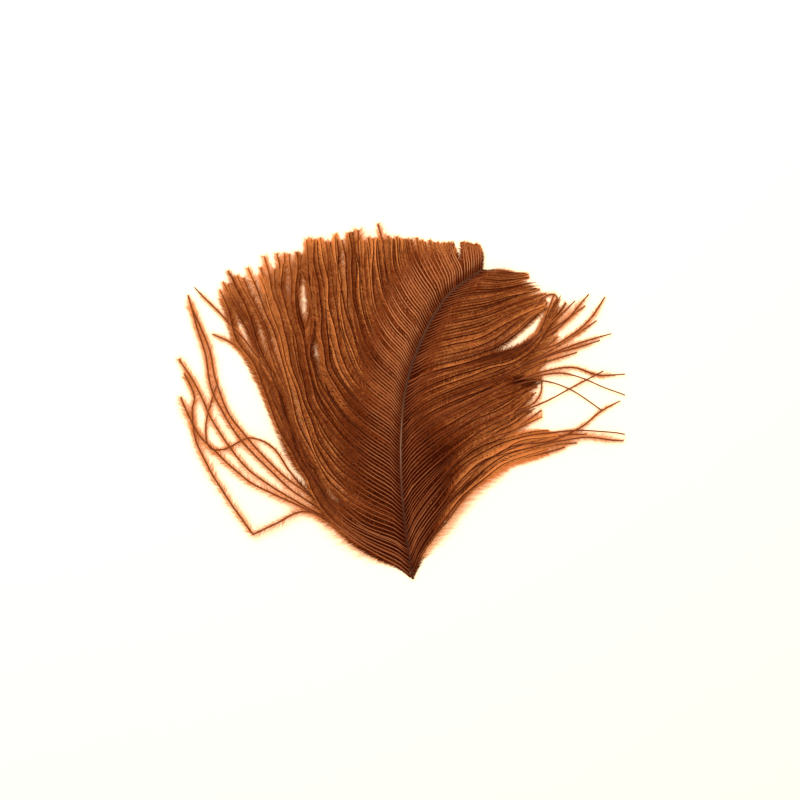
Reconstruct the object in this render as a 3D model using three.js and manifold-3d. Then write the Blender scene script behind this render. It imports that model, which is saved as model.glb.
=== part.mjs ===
// Ostrich herl: a cut length of dyed ostrich feather lying flat on its underside.
// Millimetres, +Z up. The drawing starts from the lower cut end of the shaft, and the
// finished group is moved so that its origin lies under the middle of its box.
import * as THREE from 'three';
import { mergeVertices } from 'three/addons/utils/BufferGeometryUtils.js';
import Module from 'manifold-3d';

const shaftWay = [
  [0, 0], [-2, 14.5], [-3.5, 29.5], [-3.5, 44.5], [-2, 58], [2.5, 71.5], [10, 84.5], [21, 93],
];
const shaftWidth = { base: 0.8, full: 1.5, top: 1.0 };
const shaftHeight = { base: 0.8, full: 1.4, top: 0.9 };
const shaftSteps = 26;

const vaneGap = 0.3;        // clear space between the shaft and the roots of the locks
const lockOverlap = 1.3;    // width of a lock as a share of its own spacing
const tipShare = 0.72;      // the same share at the cut tips
const lockHeight = { root: 1.4, crown: 3, tip: 1.1 };
const lockSteps = 6;
const raggedTrim = 0.9;     // how far the cut tips vary along their own line

const herlWidth = 2.6;      // one loose herl with its fringe of barbules
const herlHeight = 1.4;
const herlTip = 0.45;       // width of its tip as a share of its full width
const herlStep = 4;         // length of one step along a loose herl

// How the locks run: where on the shaft they start, then four points they pass through.
const leftFlow = [
  { share: 0.02, way: [[-20.5, 13.8], [-34.2, 32], [-46.8, 60], [-59, 86.5]] },
  { share: 0.12, way: [[-18.5, 19], [-31.5, 35.5], [-42, 64], [-54.5, 92.5]] },
  { share: 0.17, way: [[-18, 25], [-30, 40], [-38.5, 65], [-48.5, 93]] },
  { share: 0.22, way: [[-17, 31], [-28.5, 44.5], [-35, 65.5], [-41.5, 96.5]] },
  { share: 0.32, way: [[-17, 41.5], [-27.5, 55.5], [-31.5, 73], [-32.5, 99]] },
  { share: 0.44, way: [[-16, 53.5], [-23.5, 65], [-26, 82], [-28, 102.5]] },
  { share: 0.55, way: [[-13, 65.5], [-17, 77], [-19, 89], [-20, 103]] },
  { share: 0.66, way: [[-7.5, 74.5], [-11.5, 83], [-12.5, 92], [-13.5, 102]] },
  { share: 0.76, way: [[-1.5, 82], [-5.5, 89], [-7, 95], [-7, 102.5]] },
  { share: 0.84, way: [[4.5, 87.5], [1.5, 92], [-0.5, 96], [-1.5, 102]] },
  { share: 0.9, way: [[11.5, 90], [10, 93.5], [8.5, 97], [7, 101]] },
  { share: 0.94, way: [[15.5, 91.5], [14.3, 94.3], [13.3, 97.3], [12.6, 100.6]] },
  { share: 0.95, way: [[16.6, 92], [15.8, 94.6], [15, 97.6], [14.4, 100.6]] },
  { share: 1, way: [[21, 94.5], [20.9, 96.2], [20.6, 98], [20.2, 99.8]] },
];
const rightFlow = [
  { share: 0.02, way: [[5.2, 11.2], [15.6, 24], [27, 34.6], [41.5, 38.6]] },
  { share: 0.12, way: [[6.5, 23.5], [16, 34], [28, 40.5], [42, 43]] },
  { share: 0.16, way: [[5.7, 27], [15.3, 36.6], [27.5, 42.7], [41, 44.3]] },
  { share: 0.166, way: [[5.6, 27.5], [15.2, 37], [26, 43.6], [38, 50]] },
  { share: 0.23, way: [[5, 31.5], [14.5, 39.5], [25.2, 46], [34.3, 52.3]] },
  { share: 0.28, way: [[5, 36.3], [14.8, 43.3], [25.8, 49.6], [37, 57]] },
  { share: 0.33, way: [[5, 41], [15, 47], [25, 52.5], [37.5, 58.5]] },
  { share: 0.44, way: [[5.5, 51], [17, 56], [29, 61.5], [40.5, 67]] },
  { share: 0.54, way: [[7, 59], [20, 63.5], [34.5, 68.8], [45.6, 83.5]] },
  { share: 0.6, way: [[8.5, 63], [20.5, 66.2], [35.5, 71.8], [42.6, 85]] },
  { share: 0.616, way: [[9, 64.4], [20, 67.2], [30.4, 72.8], [39.6, 81.4]] },
  { share: 0.65, way: [[10, 68], [20, 70.5], [30, 76], [40.5, 82]] },
  { share: 0.75, way: [[13, 76.5], [21.5, 78.5], [30, 82], [39, 85]] },
  { share: 0.84, way: [[16, 83.5], [23, 84.5], [29.5, 86], [37, 87.5]] },
  { share: 0.93, way: [[20, 89.5], [25, 89], [30.5, 89.5], [35.5, 90.5]] },
  { share: 1, way: [[24, 92.5], [27.5, 92.5], [30.5, 92], [33.5, 92]] },
];

// Loose herls, from inside the vane to the tip. The kinked one is two runs that meet.
const leftLoose = [
  { way: [[-20, 14], [-26, 17.8], [-29.5, 20], [-33, 20.4], [-36.5, 19.2], [-41.2, 16.5], [-48, 13.5]] },
  { way: [[-47.5, 13.5], [-53.5, 21.5], [-60.5, 32], [-65, 41.5], [-66, 50], [-65.5, 55], [-68.5, 61.5]] },
  { way: [[-22, 15.2], [-28.5, 19.3], [-38.5, 24], [-49, 29.5], [-59.5, 38.5], [-65, 44.5], [-69.5, 54.5]] },
  { way: [[-24, 17.6], [-43.5, 28.5], [-53, 37], [-60, 47.5], [-63.5, 55], [-70, 66]] },
  { way: [[-26, 19], [-40, 30], [-52, 42.5], [-59.5, 55], [-62.5, 68], [-65.5, 78.5], [-67.5, 85]] },
  { way: [[-30.5, 25], [-42, 34], [-54, 48], [-59, 59.5], [-61.5, 70], [-66.5, 82]] },
  { way: [[-34, 29], [-37.5, 33], [-42, 39.5], [-49, 42.5], [-56, 39], [-61, 39.5], [-62, 46], [-59, 58]] },
  { way: [[-38, 43], [-44, 55], [-48.5, 64.5], [-53.5, 70], [-60, 73.5]] },
  { way: [[-41, 58], [-49, 70], [-54.5, 76], [-62, 84], [-65.5, 87.5]] },
  { way: [[-16, 96], [-16.5, 100], [-16.5, 104.5]] },
  { way: [[-8.5, 97], [-9, 101], [-10.5, 106.5]], width: 1.4 },
];
const rightLoose = [
  { way: [[26, 35], [33.5, 36.5], [45.5, 39.5]] },
  { way: [[24, 34.5], [33, 38], [42, 40.3], [49, 41]] },
  { way: [[27, 38], [36, 41.2], [45, 43.2], [52, 43.6]] },
  { way: [[32, 38.5], [41, 41], [51.5, 42.5], [60.5, 41.5], [63, 41.5]] },
  { way: [[30.5, 40], [41, 41.5], [50, 45.5], [56, 50], [62, 53.5]] },
  { way: [[30.5, 42], [40.5, 44], [50, 44.5], [60.5, 44], [63.5, 43.5]] },
  { way: [[24.5, 41.5], [32, 46], [38.5, 50.5]] },
  { way: [[27.5, 48.5], [36.5, 52], [47, 57], [57, 62.5]] },
  { way: [[28.5, 49.5], [35, 52], [38, 55.5], [38.5, 59.5]] },
  { way: [[29, 57.5], [38, 59.5], [47, 57], [56.5, 50.5]] },
  { way: [[30.5, 59.5], [41, 61.5], [48.5, 61], [57.5, 57.5], [63.5, 55]] },
  { way: [[30.5, 59.5], [40.5, 62.5], [48.5, 63.5], [56, 61], [63.5, 61.5]] },
  { way: [[32, 61.5], [41, 65.5], [49, 68]] },
  { way: [[35, 64.5], [44, 68], [56, 71.5]] },
  { way: [[35, 65], [44, 68.5], [51.5, 71.5], [59.5, 73.5]] },
  { way: [[35, 65.5], [44, 70], [55, 77.5]] },
  { way: [[35, 67.5], [44, 71], [52.5, 77.5], [57.5, 84.5]] },
  { way: [[33.5, 68.5], [44, 75.5], [52.5, 85.5]] },
  { way: [[33.5, 70], [43.5, 76], [51.5, 82]] },
  { way: [[33, 70.2], [41.8, 77], [48.5, 83.5]] },
  { way: [[29, 77], [35.5, 80.5], [39, 84.2], [42, 85.4], [43.2, 84.2], [41.8, 82.4]], width: 1.2 },
];

// Runs of locks side by side, between the splits: a slit on the left, two wedges on the right.
const leftRuns = [{ from: 0.02, to: 0.942, count: 25 }, { from: 0.95, to: 1, count: 2 }];
const rightRuns = [
  { from: 0.02, to: 0.16, count: 3 }, { from: 0.166, to: 0.6, count: 9 }, { from: 0.616, to: 1, count: 8 },
];

const curveThrough = (way) => new THREE.CatmullRomCurve3(
  way.map(([x, y]) => new THREE.Vector3(x, y, 0)), false, 'catmullrom', 0.5,
);
const mix = (a, b, t) => a + (b - a) * t;
const chance = (k) => {
  const wave = Math.sin(k * 12.9898 + 4.1) * 43758.5453;
  return wave - Math.floor(wave);
};
const hump = (t, { root, crown, tip }) => (
  t < 0.35 ? mix(root, crown, Math.sin((t / 0.35) * Math.PI / 2)) : mix(crown, tip, (t - 0.35) / 0.65)
);

// Closed body swept along a flat curve; sectionAt(t) gives [across, up] corners in turn.
function sweep(curve, steps, sectionAt) {
  const positions = [];
  const index = [];
  const corners = sectionAt(0).length;
  for (let s = 0; s <= steps; s += 1) {
    const t = s / steps;
    const at = curve.getPointAt(t);
    const along = curve.getTangentAt(t);
    for (const [across, up] of sectionAt(t)) {
      positions.push(at.x + along.y * across, at.y - along.x * across, up);
    }
  }
  for (let s = 0; s < steps; s += 1) {
    for (let c = 0; c < corners; c += 1) {
      const a = s * corners + c;
      const b = s * corners + ((c + 1) % corners);
      index.push(a, b + corners, b, a, a + corners, b + corners);
    }
  }
  const last = steps * corners;
  for (let c = 1; c < corners - 1; c += 1) {
    index.push(0, c, c + 1);
    index.push(last, last + c + 1, last + c);
  }
  const geometry = new THREE.BufferGeometry();
  geometry.setAttribute('position', new THREE.Float32BufferAttribute(positions, 3));
  geometry.setIndex(index);
  return geometry;
}

const wasm = await Module();
wasm.setup();

function solidOf(geometry) {
  const vertProperties = new Float32Array(geometry.attributes.position.array);
  const triVerts = new Uint32Array(geometry.index.array);
  return new wasm.Manifold(new wasm.Mesh({ numProp: 3, vertProperties, triVerts }));
}

function geometryOf(solid) {
  const mesh = solid.getMesh();
  const geometry = new THREE.BufferGeometry();
  geometry.setAttribute('position', new THREE.BufferAttribute(new Float32Array(mesh.vertProperties), 3));
  geometry.setIndex(Array.from(mesh.triVerts));
  return mergeVertices(geometry, 1e-3);
}

const shaftCurve = curveThrough(shaftWay);
const pastShaft = curveThrough([[0.7, -5], ...shaftWay, [25.5, 96.5]]);
const swell = (t, { base, full, top }) => (
  t < 0.3 ? mix(base, full, Math.sin((t / 0.3) * Math.PI / 2)) : mix(full, top, ((t - 0.3) / 0.7) ** 2)
);

// Shaft: flat underneath, rounded over the top.
function shaftSection(t) {
  const half = swell(t, shaftWidth) / 2;
  const height = swell(t, shaftHeight);
  return [[-half * 0.8, 0], [half * 0.8, 0], [half, height * 0.45], [half * 0.55, height],
    [-half * 0.55, height], [-half, height * 0.45]];
}

// The path of one lock between the two nearest lines of the flow.
function flowWay(flow, share) {
  let i = 0;
  while (i < flow.length - 2 && flow[i + 1].share < share) i += 1;
  const t = (share - flow[i].share) / (flow[i + 1].share - flow[i].share);
  const root = shaftCurve.getPointAt(share);
  const between = flow[i].way.map(([x, y], k) => [
    mix(x, flow[i + 1].way[k][0], t),
    mix(y, flow[i + 1].way[k][1], t),
  ]);
  return [[root.x, root.y], ...between];
}

function flowLock(flow, { from, to, count }, k) {
  const pitch = (to - from) / count;
  const share = from + (k + 0.5) * pitch;
  const way = flowWay(flow, share);
  const [before, tip] = way.slice(-2);
  const reach = Math.hypot(tip[0] - before[0], tip[1] - before[1]);
  const trim = (chance(k) - 0.5) * 2 * raggedTrim / reach;
  way[way.length - 1] = [mix(before[0], tip[0], 1 + trim), mix(before[1], tip[1], 1 + trim)];
  const curve = curveThrough(way);
  const lower = curveThrough(flowWay(flow, share - pitch / 2));
  const upper = curveThrough(flowWay(flow, share + pitch / 2));
  const lean = (chance(k + 50) - 0.5) * 0.4;
  const tall = mix(0.85, 1.15, chance(k + 90));
  return sweep(curve, lockSteps, (t) => {
    const spacing = lower.getPointAt(t).distanceTo(upper.getPointAt(t));
    const fill = t < 0.7 ? lockOverlap : mix(lockOverlap, tipShare, (t - 0.7) / 0.3);
    const width = Math.max(spacing * fill, herlWidth * 0.6);
    return [[-width / 2, 0], [width / 2, 0], [lean * width, tall * hump(t, lockHeight)]];
  });
}

function looseHerl({ way, width = herlWidth }) {
  const curve = curveThrough(way);
  const steps = Math.max(3, Math.round(curve.getLength() / herlStep));
  return sweep(curve, steps, (t) => {
    const fill = t < 0.75 ? 1 : mix(1, herlTip, (t - 0.75) / 0.25);
    return [[-width * fill / 2, 0], [width * fill / 2, 0], [0, herlHeight * fill]];
  });
}

// One vane: every lock and loose herl joined, then cut back from the shaft on its own side.
function vane(flow, runs, loose, side) {
  let solid = null;
  const join = (geometry) => {
    const piece = solidOf(geometry);
    solid = solid ? solid.add(piece) : piece;
  };
  for (const run of runs) {
    for (let k = 0; k < run.count; k += 1) join(flowLock(flow, run, k));
  }
  loose.forEach((herl) => join(looseHerl(herl)));
  const near = side * (shaftWidth.full / 2 + vaneGap);
  const [low, high] = [Math.min(near, -side * 6), Math.max(near, -side * 6)];
  const clear = sweep(pastShaft, shaftSteps, () => [[low, -1], [high, -1], [high, 5], [low, 5]]);
  return geometryOf(solid.subtract(solidOf(clear)));
}

const shaftLook = new THREE.MeshStandardMaterial({ color: 0x4a2a1c, roughness: 0.5, metalness: 0 });
const leftLook = new THREE.MeshStandardMaterial({ color: 0x95511f, roughness: 0.85, metalness: 0 });
const rightLook = new THREE.MeshStandardMaterial({ color: 0x8a4a1e, roughness: 0.85, metalness: 0 });

const pieces = [
  ['shaft', sweep(shaftCurve, shaftSteps, shaftSection), shaftLook],
  ['left_vane', vane(leftFlow, leftRuns, leftLoose, -1), leftLook],
  ['right_vane', vane(rightFlow, rightRuns, rightLoose, 1), rightLook],
];

const feather = new THREE.Group();
feather.name = 'ostrich_herl';
for (const [name, geometry, look] of pieces) {
  const mesh = new THREE.Mesh(geometry, look);
  mesh.name = name;
  feather.add(mesh);
}
const box = new THREE.Box3().setFromObject(feather);
const middle = box.getCenter(new THREE.Vector3());
feather.position.set(-middle.x, -middle.y, -box.min.z);

export default feather;
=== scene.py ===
import math
import random
import bpy
import numpy as np
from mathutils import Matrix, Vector


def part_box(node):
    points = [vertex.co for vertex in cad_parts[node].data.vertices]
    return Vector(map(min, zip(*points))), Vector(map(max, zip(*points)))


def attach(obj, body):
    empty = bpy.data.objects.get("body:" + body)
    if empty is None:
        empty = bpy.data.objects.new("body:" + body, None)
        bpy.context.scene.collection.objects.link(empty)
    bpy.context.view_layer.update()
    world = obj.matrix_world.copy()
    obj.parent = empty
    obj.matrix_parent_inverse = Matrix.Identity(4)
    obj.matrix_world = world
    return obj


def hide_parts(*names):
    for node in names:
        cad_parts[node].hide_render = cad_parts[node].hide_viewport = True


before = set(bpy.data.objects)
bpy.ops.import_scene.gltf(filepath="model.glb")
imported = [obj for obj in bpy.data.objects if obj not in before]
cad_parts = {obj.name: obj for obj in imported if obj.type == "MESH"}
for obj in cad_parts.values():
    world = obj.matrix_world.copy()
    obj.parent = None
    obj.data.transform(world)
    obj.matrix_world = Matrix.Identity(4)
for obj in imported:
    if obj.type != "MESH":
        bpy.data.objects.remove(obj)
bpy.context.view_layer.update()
mm = 0.001
print("frame loaded:", ", ".join(sorted(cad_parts)))


# curves: everything is drawn in millimetres from the shaft's lower cut end, then shifted into the frame
def smoothStep(t):
    t = np.clip(t, 0.0, 1.0)
    return t * t * (3 - 2 * t)


def ramp(x, start, over):
    return smoothStep((x - start) / over)


def hump(x, middle, half):
    return np.exp(-((x - middle) / half) ** 2)


def throughPoints(points, fine=24):
    p = np.asarray(points, float)
    p = np.vstack([2 * p[0] - p[1], p, 2 * p[-1] - p[-2]])      # ends mirrored
    runs = []
    for i in range(len(p) - 3):
        a, b, c, d = p[i:i + 4]
        t = np.linspace(0, 1, fine, endpoint=False)[:, None]
        runs.append(0.5 * (2 * b + (c - a) * t + (2 * a - 5 * b + 4 * c - d) * t ** 2
                           + (3 * b - a - 3 * c + d) * t ** 3))
    runs.append(p[-2][None, :])
    return np.vstack(runs)


def arcLengths(line):
    return np.r_[0, np.cumsum(np.linalg.norm(np.diff(line, axis=0), axis=1))]


def alongLine(line, where):
    s = arcLengths(line)
    where = np.asarray(where, float)
    out = np.stack([np.interp(where, s, line[:, k]) for k in range(line.shape[1])], axis=1)
    past = np.clip(where - s[-1], 0, None)[:, None]             # runs straight on past the end
    heading = (line[-1] - line[-3]) / np.linalg.norm(line[-1] - line[-3])
    return out + heading * past


def headings(line):
    d = np.gradient(line, axis=0)
    return d / np.linalg.norm(d, axis=1)[:, None]


def rightOf(line):
    d = headings(line)
    return np.stack([d[:, 1], -d[:, 0]], axis=1)


shaft = {
    "way": [(0, 0), (-2, 14.5), (-3.5, 29.5), (-3.5, 44.5), (-2, 58), (2.5, 71.5), (10, 84.5), (21, 93)],
    "width": (0.8, 1.5, 1.0),       # base, fullest, top
    "height": (0.8, 1.4, 0.9),
    "fullest": 0.3,                 # share of the length
    "cadRings": 27,                 # sections of the CAD shaft, whose corner places the drawing
}
shaftLine = throughPoints(shaft["way"], 40)
shaftLength = arcLengths(shaftLine)[-1]


def swell(t, sizes):
    base, full, top = sizes
    at = shaft["fullest"]
    rise = base + (full - base) * np.sin(np.clip(t / at, 0, 1) * math.pi / 2)
    fall = full + (top - full) * np.clip((t - at) / (1 - at), 0, 1) ** 2
    return np.where(t < at, rise, fall)


def onShaft(share):
    return alongLine(shaftLine, np.atleast_1d(share) * shaftLength)


def drawingShift():
    t = np.linspace(0, 1, shaft["cadRings"])
    centre = onShaft(t)
    across = rightOf(centre) * (swell(t, shaft["width"]) / 2)[:, None]
    low = np.minimum(centre + across, centre - across).min(axis=0)
    corner = np.array(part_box("shaft")[0]) / mm
    return np.array([corner[0] - low[0], corner[1] - low[1], 0.0])


shift = drawingShift()
print("drawing shift in mm:", shift.round(3).tolist())


# node helpers
def addNode(tree, kind, inputs=None, **settings):
    node = tree.nodes.new(kind)
    for key, value in settings.items():
        setattr(node, key, value)
    for key, value in (inputs or {}).items():
        if isinstance(value, bpy.types.NodeSocket):
            tree.links.new(value, node.inputs[key])
        else:
            node.inputs[key].default_value = value
    return node


def mathNode(tree, operation, a, b=0.0):
    return addNode(tree, "ShaderNodeMath", {0: a, 1: b}, operation=operation).outputs[0]


def vectorNode(tree, operation, a, b=None):
    inputs = {0: a}
    if b is not None:
        inputs["Scale" if operation == "SCALE" else 1] = b
    return addNode(tree, "ShaderNodeVectorMath", inputs, operation=operation).outputs[0]


def mixColour(tree, factor, a, b):
    return addNode(tree, "ShaderNodeMix", {0: factor, 6: a, 7: b}, data_type="RGBA").outputs[2]


# dyed keratin: dark to light by the dye value, which also carries painted shade, shadows, glints and glow,
# with soft mottling and a fine grain, used by every feather material
keratin = {
    "detail": 4.0,
    "noiseRoughness": 0.6,
    "roughSpread": 0.5,             # how far the mottling changes the roughness
    "finer": 6.0,                   # the grain is this much finer than the mottling
    "grainDetail": 2.0,
    "bumpDepth": 0.05 * mm,
}


def dyeGroup():
    tree = bpy.data.node_groups.new("dyedKeratin", "ShaderNodeTree")
    face = tree.interface
    for name in ("Dark", "Middle", "Light"):
        face.new_socket(name, in_out="INPUT", socket_type="NodeSocketColor")
    for name in ("Dye", "Mottle Scale", "Mottle", "Rough"):
        face.new_socket(name, in_out="INPUT", socket_type="NodeSocketFloat")
    face.new_socket("Colour", in_out="OUTPUT", socket_type="NodeSocketColor")
    face.new_socket("Roughness", in_out="OUTPUT", socket_type="NodeSocketFloat")
    face.new_socket("Grain", in_out="OUTPUT", socket_type="NodeSocketFloat")
    given = addNode(tree, "NodeGroupInput").outputs
    place = addNode(tree, "ShaderNodeTexCoord").outputs["Object"]
    noise = addNode(tree, "ShaderNodeTexNoise",
                    {"Vector": place, "Scale": given["Mottle Scale"], "Detail": keratin["detail"],
                     "Roughness": keratin["noiseRoughness"]}).outputs[0]
    spread = mathNode(tree, "SUBTRACT", noise, 0.5)
    dye = mathNode(tree, "ADD", given["Dye"], mathNode(tree, "MULTIPLY", spread, given["Mottle"]))
    low = addNode(tree, "ShaderNodeMapRange", {0: dye, 1: 0.0, 2: 0.5})
    high = addNode(tree, "ShaderNodeMapRange", {0: dye, 1: 0.5, 2: 1.0})
    colour = mixColour(tree, low.outputs[0], given["Dark"], given["Middle"])
    colour = mixColour(tree, high.outputs[0], colour, given["Light"])
    rough = mathNode(tree, "ADD", given["Rough"], mathNode(tree, "MULTIPLY", spread, keratin["roughSpread"]))
    fine = mathNode(tree, "MULTIPLY", given["Mottle Scale"], keratin["finer"])
    grain = addNode(tree, "ShaderNodeTexNoise",
                    {"Vector": place, "Scale": fine, "Detail": keratin["grainDetail"]}).outputs[0]
    addNode(tree, "NodeGroupOutput", {"Colour": colour, "Roughness": rough, "Grain": grain})
    return tree


dyedKeratin = dyeGroup()


def attribute(tree, name):
    return addNode(tree, "ShaderNodeAttribute", attribute_name=name).outputs["Fac"]


def emptyMaterial(name):
    material = bpy.data.materials.new(name)
    material.use_nodes = True
    material.node_tree.nodes.clear()
    return material, material.node_tree


def dyed(tree, look, dye, height=None):
    # a principled surface in the dyed colour, with its own roughness and bump
    node = addNode(tree, "ShaderNodeGroup", node_tree=dyedKeratin)
    for key in ("dark", "middle", "light"):
        node.inputs[key.title()].default_value = (*look[key], 1)
    for key, value in (("Mottle Scale", "mottleScale"), ("Mottle", "mottle"), ("Rough", "roughness")):
        node.inputs[key].default_value = look[value]
    tree.links.new(dye, node.inputs["Dye"])
    bump = addNode(tree, "ShaderNodeBump", {"Strength": look["bump"], "Distance": keratin["bumpDepth"],
                                            "Height": height or node.outputs["Grain"]})
    body = addNode(tree, "ShaderNodeBsdfPrincipled",
                   {"Base Color": node.outputs["Colour"], "Roughness": node.outputs["Roughness"],
                    "Normal": bump.outputs[0], "Specular IOR Level": look["shine"]})
    return node.outputs["Colour"], body.outputs[0]


barbuleLook = {
    "dark": (0.045, 0.0045, 0.0006),
    "middle": (0.225, 0.041, 0.0068),
    "light": (0.76, 0.265, 0.066),
    "glow": (0.98, 0.55, 0.17),
    "glows": (0.25, 1.0),           # how light the dye is where the glow starts and where it is full
    "glowMost": 0.8,
    "through": 0.40,                # share of light that passes through a barbule
    "fleck": 0.28,                  # how far single barbules differ
    "tips": 0.2,                    # how much lighter the tips are
    "close": 3.5,                   # how close to the stem its painted lit and shaded sides lie
    "mottleScale": 420.0,
    "mottle": 0.4,
    "roughness": 0.75,
    "bump": 0.15,
    "shine": 0.01,
}


def barbuleMaterial():
    look = barbuleLook
    material, tree = emptyMaterial("barbuleFringe")
    fleck = mathNode(tree, "SUBTRACT", attribute(tree, "fleck"), 0.5)
    fleck = mathNode(tree, "MULTIPLY", fleck, look["fleck"])
    across = attribute(tree, "across")
    lighter = mathNode(tree, "MULTIPLY", across, look["tips"])
    close = mathNode(tree, "POWER", mathNode(tree, "SUBTRACT", 1.0, across), look["close"])
    # painted light: barbules by the stem are lighter on the lit side and darker on the shaded side
    paintedSides = mathNode(tree, "MULTIPLY", close, attribute(tree, "lit"))
    dye = mathNode(tree, "ADD", mathNode(tree, "ADD", attribute(tree, "dye"), fleck),
                   mathNode(tree, "ADD", lighter, paintedSides))
    colour, body = dyed(tree, look, dye)
    start, full = look["glows"]
    glows = addNode(tree, "ShaderNodeMapRange", {0: dye, 1: start, 2: full, 4: look["glowMost"]}).outputs[0]
    glow = mixColour(tree, glows, colour, (*look["glow"], 1))
    through = addNode(tree, "ShaderNodeBsdfTranslucent", {"Color": glow})
    both = addNode(tree, "ShaderNodeMixShader", {0: look["through"], 1: body, 2: through.outputs[0]})
    addNode(tree, "ShaderNodeOutputMaterial", {"Surface": both.outputs[0]})
    return material


ramusLook = {
    "dark": (0.030, 0.0032, 0.0005),
    "middle": (0.165, 0.040, 0.0115),
    "light": (0.40, 0.142, 0.050),
    "mottleScale": 900.0,
    "mottle": 0.3,
    "roughness": 0.6,
    "bump": 0.3,
    "shine": 0.02,
}


def ramusMaterial():
    material, tree = emptyMaterial("herlStem")
    # the stem dye carries painted glints, sheen and shade
    body = dyed(tree, ramusLook, attribute(tree, "stemDyeAndPaintedLight"))[1]
    addNode(tree, "ShaderNodeOutputMaterial", {"Surface": body})
    return material


shaftLook = {
    "dark": (0.020, 0.0050, 0.0020),
    "middle": (0.095, 0.030, 0.0105),
    "light": (0.20, 0.115, 0.072),
    "mottleScale": 500.0,
    "mottle": 0.3,
    "roughness": 0.55,
    "bump": 0.5,
    "shine": 0.08,
    "grooves": 9.0,                 # fine grooves across the shaft
    "grooveScale": 2.0,
    "grooveDetail": 3.0,
}


def shaftMaterial():
    look = shaftLook
    material, tree = emptyMaterial("shaftKeratin")
    along = addNode(tree, "ShaderNodeCombineXYZ",
                    {0: mathNode(tree, "MULTIPLY", attribute(tree, "around"), look["grooves"]),
                     1: mathNode(tree, "MULTIPLY", attribute(tree, "along"), look["grooves"])}).outputs[0]
    grooves = addNode(tree, "ShaderNodeTexNoise", {"Vector": along, "Scale": look["grooveScale"],
                                                   "Detail": look["grooveDetail"]}).outputs[0]
    # the shaft's dye carries painted shade on its sides and a painted glint along its top
    body = dyed(tree, look, attribute(tree, "shaftDyeAndPaintedLight"), grooves)[1]
    addNode(tree, "ShaderNodeOutputMaterial", {"Surface": body})
    return material


materials = {"barbule": barbuleMaterial(), "ramus": ramusMaterial(), "shaft": shaftMaterial()}
print("materials made:", ", ".join(materials))


# geometry nodes: a drawn line becomes a stem with two rows of barbules
barbuleSeeds = {"angle": 11, "droop": 21, "length": 31, "fleck": 41}


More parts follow.
